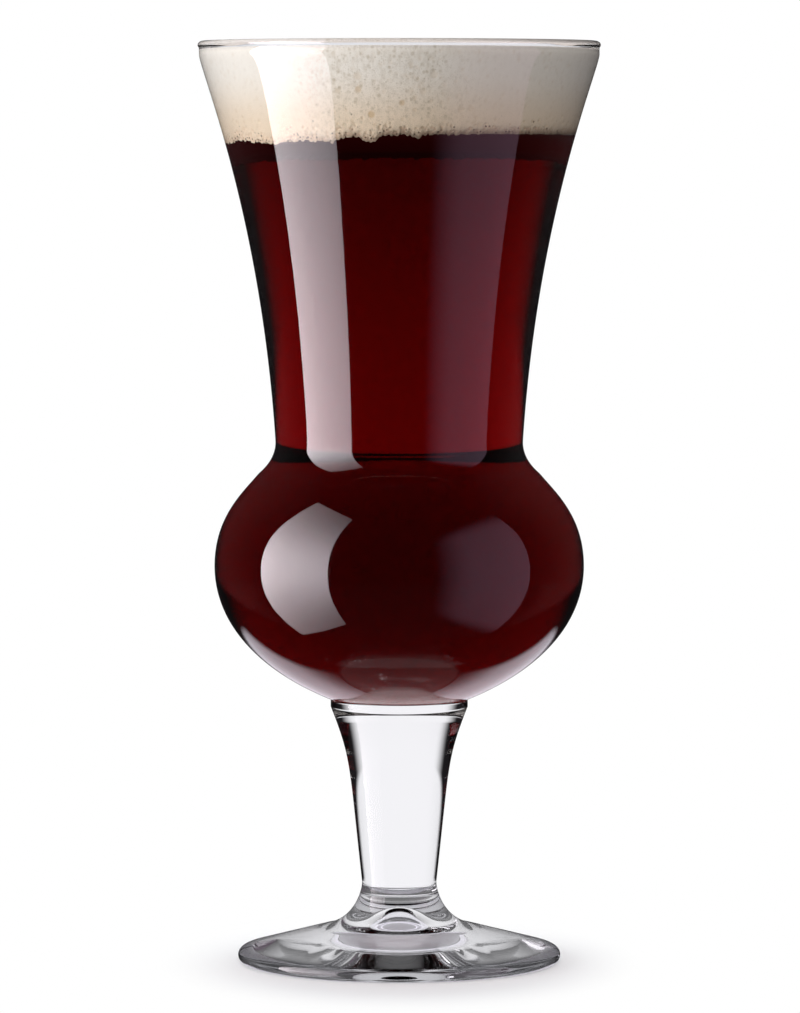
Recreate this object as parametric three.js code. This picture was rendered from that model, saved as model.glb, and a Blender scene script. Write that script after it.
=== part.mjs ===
// Thistle beer glass: a round bulb that opens into a tall flare, on a solid flared stem and a disc foot.
// It is full of dark beer under a head of foam. Millimetres, +Z up, standing on z = 0 and centred on Z.

import * as THREE from 'three';

// Heights, stacked from the table to the rim
const footHeight = 15.2;
const stemLength = 42;
const bulbLowerHeight = 29.1;
const bulbUpperHeight = 27.4;
const flareHeight = 83.3;
const lipHeight = 3;

// Bowl
const bulbRadius = 40.1;
const waistRadius = 26.85;
const mouthRadius = 43.25;
const wallThickness = 2.2;
const floorThickness = 6.5;
const beadHeight = 1.8;
const beadBulge = 0.28;

// Stem
const stemTopRadius = 14.9;
const stemNeckRadius = 8.1;
const stemLip = 1.5;
const stemLipRound = 0.3;
const stemLedge = 0.3;
const stemFootFillet = 2.2;

// Foot
const footRadius = 35.1;
const footEdgeRound = 1.5;
const footSlope = THREE.MathUtils.degToRad(15.2);
const footNeckReach = 18;
const jointRadius = 8.45;
const restingRingWidth = 2.6;
const kickHeight = 10.4;
const kickRadius = 10.2;
const kickRimHeight = 4.2;

// Drink
const freeboard = 1.7;
const foamDepth = 18.9;
const foamCrown = 1;
const drinkClearance = 0.3;

// Places that follow from the sizes
const stemTop = footHeight + stemLength;
const bulbMiddle = stemTop + bulbLowerHeight;
const waist = bulbMiddle + bulbUpperHeight;
const flareTop = waist + flareHeight;
const rimTop = flareTop + lipHeight;
const beadMiddle = rimTop - beadHeight / 2;
const seatRadius = stemTopRadius - stemLedge;
const foamEdge = rimTop - freeboard;
const beerLevel = foamEdge - foamDepth;

// Handles of the curves, as shares of the height and the width that each curve spans
const bulbUnderShares = { out: 0.845, rise: 0.304, fall: 0.267 };
const shoulderShares = { rise: 0.395, out: 0.283, up: 0.73, handle: 0.187, slope: 1.21 };
const waistShares = { handle: 0.0183, rise: 0.16, lean: 0.0625 };
const flareShares = { rise: 0.592, lean: 0.0651, in: 0.0226, fall: 0.049 };
const floorShares = { out: 0.6, fall: 0.52 };
const stemShares = { rise: 0.67, lean: 0.42, in: 0.676, fall: 0.306 };
const neckShares = { out: 0.13, lean: 0.22, fall: 0.895 };
const kickShares = { flat: 0.35, foot: 0.5 };
const hollowShares = { dip: 0.1, flat: 0.7, lift: 0.25 };

// How finely the round shapes are divided
const turnSteps = 48;
const longCurveSteps = 10;
const curveSteps = 7;
const shortCurveSteps = 4;

function point(radius, height) {
  return new THREE.Vector2(radius, height);
}

function curve(start, startHandle, endHandle, end) {
  return new THREE.CubicBezierCurve(start, startHandle, endHandle, end);
}

// A closed solid: the outline turned once round the Z axis, from the axis under it to the axis over it
function turned(name, outline, material) {
  const geometry = new THREE.LatheGeometry(outline, turnSteps);
  geometry.rotateX(Math.PI / 2);
  const mesh = new THREE.Mesh(geometry, material);
  mesh.name = name;
  return mesh;
}

// Points along a curve that runs upward, moved toward the axis by a depth measured square to the curve
function inset(wall, depth, steps) {
  const points = [];
  for (let step = 0; step <= steps; step += 1) {
    const share = step / steps;
    const place = wall.getPoint(share);
    const tangent = wall.getTangent(share);
    points.push(point(place.x - depth * tangent.y, place.y + depth * tangent.x));
  }
  return points;
}

// Neighbouring points that fall on one place are kept once
function joined(...runs) {
  return runs.flat().filter((place, index, all) => index === 0 || !place.equals(all[index - 1]));
}

// The bowl's outer wall above the bulb's widest ring: shoulder, waist and flare
function outerWall() {
  const inward = bulbRadius - waistRadius;
  const turn = point(waistRadius + shoulderShares.out * inward, bulbMiddle + shoulderShares.up * bulbUpperHeight);
  const slide = (share) => point(
    turn.x + share * bulbUpperHeight,
    turn.y - share * bulbUpperHeight * shoulderShares.slope,
  );
  const waistRing = point(waistRadius, waist);
  const waistDrop = waistShares.rise * bulbUpperHeight;
  const widening = mouthRadius - waistRadius;
  const shoulder = curve(
    point(bulbRadius, bulbMiddle),
    point(bulbRadius, bulbMiddle + shoulderShares.rise * bulbUpperHeight),
    slide(shoulderShares.handle * Math.cos(Math.atan(shoulderShares.slope))),
    turn,
  );
  const hollow = curve(
    turn,
    slide(-waistShares.handle * Math.cos(Math.atan(shoulderShares.slope))),
    point(waistRadius - waistDrop * waistShares.lean, waist - waistDrop),
    waistRing,
  );
  const flareRise = flareShares.rise * flareHeight;
  const flare = curve(
    waistRing,
    point(waistRadius + flareRise * flareShares.lean, waist + flareRise),
    point(mouthRadius - flareShares.in * widening, flareTop - flareShares.fall * flareHeight),
    point(mouthRadius, flareTop),
  );
  return { shoulder, hollow, flare };
}

// The hollow of the bowl, or what fills it at a clearance, from the axis at the floor up to the mouth
function innerOutline(clearance) {
  const depth = wallThickness + clearance;
  const floor = stemTop + floorThickness + clearance;
  const radius = bulbRadius - depth;
  const under = curve(
    point(0, floor),
    point(floorShares.out * radius, floor),
    point(radius, bulbMiddle - floorShares.fall * (bulbMiddle - floor)),
    point(radius, bulbMiddle),
  );
  const { shoulder, hollow, flare } = outerWall();
  return joined(
    under.getPoints(longCurveSteps),
    inset(shoulder, depth, curveSteps).slice(1),
    inset(hollow, depth, shortCurveSteps).slice(1),
    inset(flare, depth, longCurveSteps).slice(1),
    [point(mouthRadius - depth, beadMiddle)],
  );
}

// Where an upward run of points crosses a height
function crossing(run, height) {
  const upper = run.findIndex((place) => place.y > height);
  const above = run[upper];
  const under = run[upper - 1];
  return under.clone().lerp(above, (height - under.y) / (above.y - under.y));
}

function bowlOutline() {
  const { shoulder, hollow, flare } = outerWall();
  const outward = bulbRadius - seatRadius;
  const under = curve(
    point(seatRadius, stemTop),
    point(seatRadius + bulbUnderShares.out * outward, stemTop + bulbUnderShares.rise * bulbLowerHeight),
    point(bulbRadius, bulbMiddle - bulbUnderShares.fall * bulbLowerHeight),
    point(bulbRadius, bulbMiddle),
  );
  const beadWidth = (wallThickness + beadBulge) / 2;
  const beadCentre = mouthRadius + beadBulge - beadWidth;
  const beadFoot = -Math.acos((mouthRadius - beadCentre) / beadWidth);
  const bead = (from, to) => new THREE.EllipseCurve(
    beadCentre,
    beadMiddle,
    beadWidth,
    beadHeight / 2,
    from,
    to,
  );
  return joined(
    [point(0, stemTop)],
    under.getPoints(longCurveSteps),
    shoulder.getPoints(curveSteps).slice(1),
    hollow.getPoints(shortCurveSteps).slice(1),
    flare.getPoints(longCurveSteps).slice(1),
    bead(beadFoot, Math.PI / 2).getPoints(shortCurveSteps),
    bead(Math.PI / 2, Math.PI).getPoints(shortCurveSteps).slice(1),
    innerOutline(0).reverse().slice(1),
  );
}

function stemOutline() {
  const widening = stemTopRadius - stemNeckRadius;
  const neck = footHeight + stemFootFillet;
  const lipFoot = stemTop - stemLip;
  const rise = lipFoot - neck;
  const fillet = new THREE.QuadraticBezierCurve(
    point(jointRadius, footHeight),
    point(stemNeckRadius, footHeight + stemFootFillet / 2),
    point(stemNeckRadius, neck),
  );
  const side = curve(
    point(stemNeckRadius, neck),
    point(stemNeckRadius + stemShares.lean * widening, neck + stemShares.rise * rise),
    point(stemTopRadius - stemShares.in * widening, lipFoot - stemShares.fall * rise),
    point(stemTopRadius, lipFoot),
  );
  const lip = new THREE.EllipseCurve(
    stemTopRadius - stemLipRound,
    stemTop - stemLipRound,
    stemLipRound,
    stemLipRound,
    0,
    Math.PI / 2,
  );
  return joined(
    [point(0, footHeight)],
    fillet.getPoints(shortCurveSteps),
    side.getPoints(longCurveSteps).slice(1),
    lip.getPoints(shortCurveSteps),
    [point(0, stemTop)],
  );
}

function footOutline() {
  const edgeCentre = footRadius - footEdgeRound;
  const edge = new THREE.EllipseCurve(
    edgeCentre,
    footEdgeRound,
    footEdgeRound,
    footEdgeRound,
    -Math.PI / 2,
    Math.PI / 2 - footSlope,
  );
  const edgeTop = edge.getPoint(1);
  const slopeTop = point(footNeckReach, edgeTop.y + (edgeTop.x - footNeckReach) * Math.tan(footSlope));
  const inward = footNeckReach - jointRadius;
  const rise = footHeight - slopeTop.y;
  const neck = curve(
    slopeTop,
    point(
      footNeckReach - neckShares.out * inward,
      slopeTop.y + neckShares.out * inward * Math.tan(footSlope),
    ),
    point(jointRadius + neckShares.lean * inward, footHeight - neckShares.fall * rise),
    point(jointRadius, footHeight),
  );
  const ringInner = edgeCentre - restingRingWidth;
  const hollowWidth = ringInner - kickRadius;
  const kick = curve(
    point(0, kickHeight),
    point(kickShares.flat * kickRadius, kickHeight),
    point(kickRadius - kickShares.foot * kickRadius, kickRimHeight),
    point(kickRadius, kickRimHeight),
  );
  const hollow = curve(
    point(kickRadius, kickRimHeight),
    point(kickRadius + hollowShares.dip * hollowWidth, kickRimHeight),
    point(ringInner - hollowShares.flat * hollowWidth, hollowShares.lift * kickRimHeight),
    point(ringInner, 0),
  );
  return joined(
    kick.getPoints(curveSteps),
    hollow.getPoints(curveSteps).slice(1),
    edge.getPoints(curveSteps),
    neck.getPoints(curveSteps),
    [point(0, footHeight)],
  );
}

function beerOutline() {
  const run = innerOutline(drinkClearance);
  const under = run.filter((place) => place.y < beerLevel);
  return joined(under, [crossing(run, beerLevel), point(0, beerLevel)]);
}

function foamOutline() {
  const run = innerOutline(drinkClearance);
  const side = run.filter((place) => place.y > beerLevel && place.y < foamEdge);
  const top = crossing(run, foamEdge);
  const crown = new THREE.QuadraticBezierCurve(
    top,
    point(top.x / 2, foamEdge + foamCrown),
    point(0, foamEdge + foamCrown),
  );
  return joined([point(0, beerLevel), crossing(run, beerLevel)], side, crown.getPoints(shortCurveSteps));
}

function clearGlass() {
  return new THREE.MeshStandardMaterial({
    color: 0xe9ebf0,
    roughness: 0.05,
    metalness: 0,
    transparent: true,
    opacity: 0.35,
  });
}

function darkBeer() {
  return new THREE.MeshStandardMaterial({ color: 0x3a0406, roughness: 0.1, metalness: 0 });
}

function creamFoam() {
  return new THREE.MeshStandardMaterial({ color: 0xece2d3, roughness: 0.85, metalness: 0 });
}

const glass = new THREE.Group();
glass.add(
  turned('foot', footOutline(), clearGlass()),
  turned('stem', stemOutline(), clearGlass()),
  turned('bowl', bowlOutline(), clearGlass()),
  turned('beer', beerOutline(), darkBeer()),
  turned('foam_head', foamOutline(), creamFoam()),
);

export default glass;
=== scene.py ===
"""Dresses the thistle beer glass: clear foot, stem and bowl, dark ruby beer and a head of foam.

Every length is in metres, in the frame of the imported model: the axis of the glass is Z and the
table is at height zero. The side views of the pieces are curves of radius against height, written
as rows of (radius, height), and each piece is such a curve turned round the axis.
"""

import logging
from dataclasses import dataclass
from enum import Enum

import bpy
import numpy as np
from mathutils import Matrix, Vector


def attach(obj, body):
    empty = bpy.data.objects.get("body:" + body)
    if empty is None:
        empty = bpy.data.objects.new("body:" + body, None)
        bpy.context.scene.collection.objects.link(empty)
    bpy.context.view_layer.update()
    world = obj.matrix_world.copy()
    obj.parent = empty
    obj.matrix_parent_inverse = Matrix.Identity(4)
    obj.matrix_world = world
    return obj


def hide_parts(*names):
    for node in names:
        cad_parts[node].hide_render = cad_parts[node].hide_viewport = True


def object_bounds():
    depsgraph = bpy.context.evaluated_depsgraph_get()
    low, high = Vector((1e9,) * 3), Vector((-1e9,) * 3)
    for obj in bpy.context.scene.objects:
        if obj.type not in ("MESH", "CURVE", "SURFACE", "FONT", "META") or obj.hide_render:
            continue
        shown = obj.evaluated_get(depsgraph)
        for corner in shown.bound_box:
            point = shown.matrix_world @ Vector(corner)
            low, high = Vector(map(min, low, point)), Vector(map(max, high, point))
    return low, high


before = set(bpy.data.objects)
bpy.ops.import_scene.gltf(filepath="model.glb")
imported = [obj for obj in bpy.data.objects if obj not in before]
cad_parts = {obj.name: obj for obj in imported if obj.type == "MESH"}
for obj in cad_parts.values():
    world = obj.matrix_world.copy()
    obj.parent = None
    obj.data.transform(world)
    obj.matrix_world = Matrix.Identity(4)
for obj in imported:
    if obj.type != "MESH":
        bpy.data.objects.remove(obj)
CAD_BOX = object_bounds()

LOG = logging.getLogger("thistle_glass")
BODY = "root"
MM = 0.001
WHITE = (1.0, 1.0, 1.0, 1.0)
BLACK = (0.0, 0.0, 0.0, 1.0)
GLASS_INDEX = 1.52
BEER_INDEX = 1.34
LIGHT_TURNS = 32
Socket = bpy.types.NodeSocket


class Surface(Enum):
    """What a stretch of a glass piece's skin lies against."""

    OPEN_AIR = 0
    DRINK = 1
    FUSED_GLASS = 2


def bezier(start: tuple, pull_start: tuple, pull_end: tuple, end: tuple, steps: int) -> np.ndarray:
    """Samples a cubic curve: the four points weighted by the cubic Bernstein polynomials.

    Args:
        start: First point, as (radius, height).
        pull_start: Point that the curve leaves the start towards.
        pull_end: Point that the curve arrives at the end from.
        end: Last point.
        steps: Number of equal parameter steps.

    Returns:
        Array of steps + 1 rows of (radius, height).
    """
    t = np.linspace(0.0, 1.0, steps + 1)[:, None]
    s = 1.0 - t
    points = [np.array(p, float) for p in (start, pull_start, pull_end, end)]
    return s**3 * points[0] + 3 * s**2 * t * points[1] + 3 * s * t**2 * points[2] + t**3 * points[3]


def arc(centre: tuple, radii: tuple, first: float, last: float, steps: int) -> np.ndarray:
    """Samples an elliptic arc: centre plus radii times the cosine and sine of the angle.

    Args:
        centre: Middle of the ellipse, as (radius, height).
        radii: Half axes along radius and height.
        first: Angle of the first point, in radians from the outward direction.
        last: Angle of the last point.
        steps: Number of equal angle steps.

    Returns:
        Array of steps + 1 rows of (radius, height).
    """
    angle = np.linspace(first, last, steps + 1)
    return np.array(centre) + np.array(radii) * np.stack([np.cos(angle), np.sin(angle)], axis=1)


def radians(*degrees: float) -> list[float]:
    """Turns degrees into radians, as plain numbers."""
    return [float(np.radians(angle)) for angle in degrees]


def line(start: tuple, end: tuple, steps: int) -> np.ndarray:
    """Samples a straight stretch from start to end in equal steps, as rows of (radius, height)."""
    t = np.linspace(0.0, 1.0, steps + 1)[:, None]
    return np.array(start) * (1.0 - t) + np.array(end) * t


def inset(curve: np.ndarray, depth: float) -> np.ndarray:
    """Moves every point of a curve to its left by a depth, square to the curve.

    The direction of the curve is the central difference of its points, and its left normal is
    that direction turned by a quarter turn.

    Args:
        curve: Rows of (radius, height), bottom to top with the solid on its left.
        depth: Distance to move.

    Returns:
        The moved rows.
    """
    along = np.gradient(curve, axis=0)
    along /= np.linalg.norm(along, axis=1)[:, None]
    left = np.stack([-along[:, 1], along[:, 0]], axis=1)
    return curve + depth * left


@dataclass(frozen=True)
class Stretch:
    """One stretch of a piece's outline, with the kind of skin that it makes."""

    points: np.ndarray
    surface: Surface = Surface.OPEN_AIR


@dataclass
class Skin:
    """A mesh as arrays: corners, quads, triangles, and the material number of each face."""

    corners: np.ndarray
    quads: np.ndarray
    triangles: np.ndarray
    quad_slots: np.ndarray
    triangle_slots: np.ndarray


def join_stretches(stretches: list[Stretch]) -> tuple[np.ndarray, np.ndarray]:
    """Chains stretches end to end, each one's first point being the last of the one before.

    Args:
        stretches: The outline in order.

    Returns:
        The rows of (radius, height), and the surface number of each step between two rows.
    """
    rows = [stretches[0].points] + [s.points[1:] for s in stretches[1:]]
    numbers = [np.full(len(s.points) - 1, s.surface.value) for s in stretches]
    return np.concatenate(rows), np.concatenate(numbers)


def ring_quads(rows: int, turns: int) -> np.ndarray:
    """Numbers the quads of a grid of rows by turns that closes on itself along the turns.

    Args:
        rows: Number of rings of corners.
        turns: Number of corners in each ring.

    Returns:
        One row of four corner numbers for each quad, ring by ring.
    """
    low = np.arange(rows - 1)[:, None] * turns
    here = np.arange(turns)[None, :]
    after = (here + 1) % turns
    corners = [low + here, low + after, low + turns + after, low + turns + here]
    return np.stack(corners, -1).reshape(-1, 4)


def turned_skin(stretches: list[Stretch], turns: int) -> Skin:
    """Turns an outline that starts and ends on the axis into a closed skin.

    Each ring holds the corners (radius times cosine, radius times sine, height) at equal angles,
    and each end on the axis is one corner with a fan of triangles round it.

    Args:
        stretches: The outline, from the axis to the axis, with the solid on its left.
        turns: Number of steps round the axis.

    Returns:
        The skin, with its faces pointing out.
    """
    outline, numbers = join_stretches(stretches)
    rings = outline[1:-1]
    angle = np.arange(turns) * 2 * np.pi / turns
    corners = np.stack(
        [
            rings[:, :1] * np.cos(angle),
            rings[:, :1] * np.sin(angle),
            np.repeat(rings[:, 1:], turns, axis=1),
        ],
        axis=-1,
    ).reshape(-1, 3)
    return close_rings(corners, len(rings), turns, outline[[0, -1], 1], numbers)


def close_rings(
    corners: np.ndarray, rows: int, turns: int, pole_heights: np.ndarray, numbers: np.ndarray
) -> Skin:
    """Joins rings of corners with quads, and closes both ends with a fan round a pole on the axis.

    Args:
        corners: The rings' corners, ring after ring.
        rows: Number of rings.
        turns: Number of corners in each ring.
        pole_heights: Heights of the first and the last pole.
        numbers: Material number of each step of the outline, the two fans included.

    Returns:
        The closed skin.
    """
    first_pole = rows * turns
    last_pole = first_pole + 1
    poles = np.array([[0.0, 0.0, pole_heights[0]], [0.0, 0.0, pole_heights[1]]])
    here = np.arange(turns)
    after = (here + 1) % turns
    top = (rows - 1) * turns
    fans = np.concatenate(
        [
            np.stack([np.full(turns, first_pole), after, here], axis=1),
            np.stack([np.full(turns, last_pole), top + here, top + after], axis=1),
        ]
    )
    return Skin(
        corners=np.concatenate([corners, poles]),
        quads=ring_quads(rows, turns),
        triangles=fans,
        quad_slots=np.repeat(numbers[1:-1], turns),
        triangle_slots=np.repeat(numbers[[0, -1]], turns),
    )


def mesh_object(name: str, skin: Skin, finishes: list[bpy.types.Material]) -> bpy.types.Object:
    """Makes a Blender object at the origin from a skin.

    Args:
        name: The piece's name.
        skin: The corners and faces.
        finishes: One material for each material number in the skin.

    Returns:
        The linked object, smoothly shaded.
    """
    mesh = bpy.data.meshes.new(name)
    loops = np.concatenate([skin.quads.ravel(), skin.triangles.ravel()])
    starts = np.concatenate(
        [
            np.arange(len(skin.quads)) * 4,
            len(skin.quads) * 4 + np.arange(len(skin.triangles)) * 3,
        ]
    )
    mesh.vertices.add(len(skin.corners))
    mesh.vertices.foreach_set("co", skin.corners.astype(np.float32).ravel())
    mesh.loops.add(len(loops))
    mesh.loops.foreach_set("vertex_index", loops.astype(np.int32))
    mesh.polygons.add(len(starts))
    mesh.polygons.foreach_set("loop_start", starts.astype(np.int32))
    for finish in finishes:
        mesh.materials.append(finish)
    slots = np.concatenate([skin.quad_slots, skin.triangle_slots])
    mesh.polygons.foreach_set("material_index", slots.astype(np.int32))
    mesh.update(calc_edges=True)
    mesh.validate()
    mesh.shade_smooth()
    piece = bpy.data.objects.new(name, mesh)
    bpy.context.scene.collection.objects.link(piece)
    return piece


def seat(piece: bpy.types.Object, node: str) -> bpy.types.Object:
    """Lets a piece stand for a CAD node and ride on the one body."""
    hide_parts(node)
    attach(piece, BODY)
    return piece


class NodeBench:
    """Adds nodes to one shader tree and links them."""

    def __init__(self, tree: bpy.types.NodeTree) -> None:
        """Keeps the tree that the nodes go into."""
        self.tree = tree

    def add(self, kind: str, inputs: dict | None = None, **settings: object) -> bpy.types.Node:
        """Adds one node.

        Args:
            kind: Blender's name of the node type.
            inputs: Values or sockets for its inputs, by name or number.
            settings: Other properties of the node.

        Returns:
            The new node.
        """
        node = self.tree.nodes.new(kind)
        for key, value in settings.items():
            setattr(node, key, value)
        for key, value in (inputs or {}).items():
            self.feed(node.inputs[key], value)
        return node

    def feed(self, socket: Socket, value: object) -> None:
        """Links a socket to another one, or sets its plain value."""
        if isinstance(value, Socket):
            self.tree.links.new(value, socket)
        else:
            socket.default_value = value

    def math(self, operation: str, *values: object) -> Socket:
        """Adds a Math node and returns its result."""
        return self.add("ShaderNodeMath", dict(enumerate(values)), operation=operation).outputs[0]

    def vector(self, operation: str, *values: object) -> bpy.types.Node:
        """Adds a Vector Math node and returns it."""
        return self.add("ShaderNodeVectorMath", dict(enumerate(values)), operation=operation)

    def dot(self, vector: Socket, direction: tuple) -> Socket:
        """Returns the dot product of a vector with a fixed direction."""
        return self.vector("DOT_PRODUCT", vector, direction).outputs["Value"]

    def stretched(self, vector: Socket, factors: tuple) -> Socket:
        """Returns a vector with each of its parts multiplied by its own factor."""
        return self.vector("MULTIPLY", vector, factors).outputs["Vector"]

    def length(self, vector: Socket) -> Socket:
        """Returns the length of a vector."""
        return self.vector("LENGTH", vector).outputs["Value"]

    def place(self) -> Socket:
        """Returns the place on the piece, in the piece's own coordinates."""
        return self.add("ShaderNodeTexCoord").outputs["Object"]

    def ramp(
        self, value: Socket, low: object, high: object, start: object = 0.0, end: object = 1.0
    ) -> Socket:
        """Maps a value from low..high to start..end with a smooth step."""
        ends = {"From Min": low, "From Max": high, "To Min": start, "To Max": end}
        settings = {"interpolation_type": "SMOOTHSTEP"}
        node = self.add("ShaderNodeMapRange", {"Value": value, **ends}, **settings)
        return node.outputs["Result"]

    def rising(self, value: Socket, middle: float, soft: float) -> Socket:
        """Rises smoothly from zero to one around a middle value, within a softness of it."""
        return self.ramp(value, middle - soft, middle + soft)

    def falling(self, value: Socket, middle: float, soft: float) -> Socket:
        """Falls smoothly from one to zero around a middle value, within a softness of it."""
        return self.ramp(value, middle - soft, middle + soft, 1.0, 0.0)

    def blend(self, factor: object, first: object, second: object, how: str = "MIX") -> Socket:
        """Mixes two colours by a factor."""
        node = self.add("ShaderNodeMix", data_type="RGBA", blend_type=how)
        for key, value in (("Factor_Float", factor), ("A_Color", first), ("B_Color", second)):
            socket = next(s for s in node.inputs if s.identifier == key)
            self.feed(socket, value)
        return next(s for s in node.outputs if s.identifier == "Result_Color")

    def lamp_through(self, surface: Socket, shade: tuple) -> Socket:
        """Lets lamp light and bounced light cross a surface unbent.

        Args:
            surface: The surface that all other rays meet.
            shade: What is left of the light at each crossing.

        Returns:
            The mixed surface.
        """
        rays = self.add("ShaderNodeLightPath").outputs
        straight = self.math("MAXIMUM", rays["Is Shadow Ray"], rays["Is Diffuse Ray"])
        clear = self.add("ShaderNodeBsdfTransparent", {"Color": shade})
        mixed = self.add("ShaderNodeMixShader", {0: straight, 1: surface, 2: clear.outputs["BSDF"]})
        return mixed.outputs[0]

    def close(self, surface: Socket, **others: Socket) -> None:
        """Ends a material: its surface, and any other part by name, go to the output."""
        self.add("ShaderNodeOutputMaterial", {"Surface": surface, **others})

    def mirrored_before(self, rays: bpy.types.NodeOutputs, steps: float) -> Socket:
        """Masks light that was mirrored on its way, by its steps that didn't go through glass.

        Args:
            rays: Outputs of a Light Path node.
            steps: Number of such steps that has to be passed.

        Returns:
            The mask.
        """
        count = self.math("SUBTRACT", rays["Ray Depth"], rays["Transmission Depth"])
        return self.math("GREATER_THAN", count, steps)


def new_material(name: str) -> tuple[bpy.types.Material, NodeBench]:
    """Makes a material with an empty node tree and returns it with its bench."""
    material = bpy.data.materials.new(name)
    material.use_nodes = True
    material.node_tree.nodes.clear()
    return material, NodeBench(material.node_tree)


def new_group(
    name: str, inputs: dict[str, float], output: str
) -> tuple[bpy.types.NodeTree, NodeBench, bpy.types.Node]:
    """Makes a shader node group with inputs and one output that are numbers.

    Args:
        name: The group's name.
        inputs: Plain value of each input, by its label.
        output: Label of the output.

    Returns:
        The group, its bench and its input node.
    """
    group = bpy.data.node_groups.new(name, "ShaderNodeTree")
    for label, value in inputs.items():
        socket = group.interface.new_socket(label, in_out="INPUT", socket_type="NodeSocketFloat")
        socket.default_value = value
    group.interface.new_socket(output, in_out="OUTPUT", socket_type="NodeSocketFloat")
    bench = NodeBench(group)
    return group, bench, bench.add("NodeGroupInput")


def glass_ripple_group() -> bpy.types.NodeTree:
    """Builds the shared ripple of hand-warm pressed glass.

    Two soft noises of the place on the piece, one as wide as a thumb and one as wide as a seed,
    are added up to a height.

    Returns:
        The node group, with inputs Depth, Wide and Fine and the output Height.
    """
    name = "glass_ripple"
    fine_share = 0.12
    if name in bpy.data.node_groups:
        return bpy.data.node_groups[name]
    inputs = {"Depth": 0.02 * MM, "Wide": 45.0, "Fine": 260.0}
    group, bench, given = new_group(name, inputs, "Height")
    place = bench.place()
    noises = (
        {"Vector": place, "Scale": given.outputs[label], "Detail": detail}
        for label, detail in (("Wide", 1.0), ("Fine", 0.0))
    )
    wide, fine = (bench.add("ShaderNodeTexNoise", noise) for noise in noises)
    both = bench.math("MULTIPLY_ADD", fine.outputs["Fac"], fine_share, wide.outputs["Fac"])
    bench.add("NodeGroupOutput", {"Height": bench.math("MULTIPLY", both, given.outputs["Depth"])})
    return group


@dataclass(frozen=True)
class ClearGlass:
    """Clear glass that bends light by its index against what lies on its other side."""

    name: str = "clear_glass"
    index: float = GLASS_INDEX
    tint: tuple = (0.985, 0.99, 0.99, 1.0)
    shade: tuple = (0.93, 0.935, 0.94, 1.0)
    mirror_tint: float = 1.0
    ripple_depth: float = 0.03 * MM
    # painted shade: the bead's darker tint stands for the dim surroundings seen through it
    bead_painted_shade: tuple = (0.83, 0.825, 0.86, 1.0)
    bead_low: float = 197.9 * MM
    bead_high: float = 198.9 * MM
    # painted shade at a disc's edge, only a little of it the glass's own tint
    edge_painted_shade: tuple | None = None
    edge_start: float = 31.8 * MM
    edge_full: float = 34.0 * MM

    def material(self) -> bpy.types.Material:
        """Builds the material: smooth glass with a faint ripple, which lets lamps through.

        The thick bead at the rim carries painted shade: a darker tint than the walls, which stands
        for the dim surroundings seen through it. The edge of a disc can carry painted shade too: a
        dark tint, a little of it the glass's own where light takes its longest way through it, most
        of it standing for the dark surroundings seen through the edge.

        Returns:
            The material.
        """
        material, bench = new_material(self.name)
        place = bench.place()
        height = bench.add("ShaderNodeSeparateXYZ", {0: place}).outputs["Z"]
        # painted shade: the bead is darkened for the dim surroundings seen through it
        bead = bench.ramp(height, self.bead_low, self.bead_high)
        tint = bench.blend(bead, self.tint, self.bead_painted_shade)
        # painted shade: a dark tint at the disc's edge, mostly standing for the dark surroundings
        # seen through it
        if self.edge_painted_shade is not None:
            reach = bench.length(bench.stretched(place, (1.0, 1.0, 0.0)))
            edge = bench.ramp(reach, self.edge_start, self.edge_full)
            tint = bench.blend(edge, tint, self.edge_painted_shade)
        ripple = bench.add("ShaderNodeGroup", node_tree=glass_ripple_group())
        ripple.inputs["Depth"].default_value = self.ripple_depth
        values = {"Height": ripple.outputs["Height"], "Distance": 1.0, "Strength": 1.0}
        bump = bench.add("ShaderNodeBump", values)
        glass = bench.add(
            "ShaderNodeBsdfPrincipled",
            {
                "Base Color": tint,
                "Roughness": 0.0,
                "IOR": self.index,
                "Transmission Weight": 1.0,
                "Normal": bump.outputs["Normal"],
            },
        )
        glass.inputs["Specular Tint"].default_value = (*(self.mirror_tint,) * 3, 1.0)
        bench.close(bench.lamp_through(glass.outputs["BSDF"], self.shade))
        return material


PRESSED_GLASS = ClearGlass(
    name="pressed_glass",
    tint=(0.928, 0.926, 0.955, 1.0),
    shade=(0.76, 0.76, 0.775, 1.0),
    mirror_tint=0.6,
    # painted shade: the dark ring at the edge of the foot
    edge_painted_shade=(0.34, 0.34, 0.365, 1.0),
)
DRAWN_GLASS = ClearGlass(name="drawn_glass", tint=(0.902, 0.898, 0.928, 1.0), mirror_tint=0.06)
WETTED_GLASS = ClearGlass(
    name="wetted_glass", index=GLASS_INDEX / BEER_INDEX, tint=WHITE, shade=WHITE
)


@dataclass(frozen=True)
class FusedSeam:
    """The face where two gathers of glass are fused, which light crosses unbent."""

    name: str = "fused_seam"

    def material(self) -> bpy.types.Material:
        """Builds the fully clear material."""
        material, bench = new_material(self.name)
        bench.close(bench.add("ShaderNodeBsdfTransparent", {"Color": WHITE}).outputs["BSDF"])
        return material


@dataclass(frozen=True)
class RubyBeer:
    """Dark beer that lets only deep red light through."""

    name: str = "ruby_beer"
    strength: float = 220.0
    passes: tuple = (0.76, 0.05, 0.08, 1.0)

    def material(self) -> bpy.types.Material:
        """Builds the material: an unbending skin round an absorbing volume.

        The wall of the glass already bends light as far as beer does, so the skin has an index
        of one.

        Returns:
            The material.
        """
        material, bench = new_material(self.name)
        skin = bench.add(
            "ShaderNodeBsdfPrincipled",
            {"Base Color": WHITE, "Roughness": 0.0, "IOR": 1.0, "Transmission Weight": 1.0},
        )
        values = {"Color": self.passes, "Density": self.strength}
        depth = bench.add("ShaderNodeVolumeAbsorption", values)
        surface = bench.lamp_through(skin.outputs["BSDF"], WHITE)
        bench.close(surface, Volume=depth.outputs["Volume"])
        return material


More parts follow.
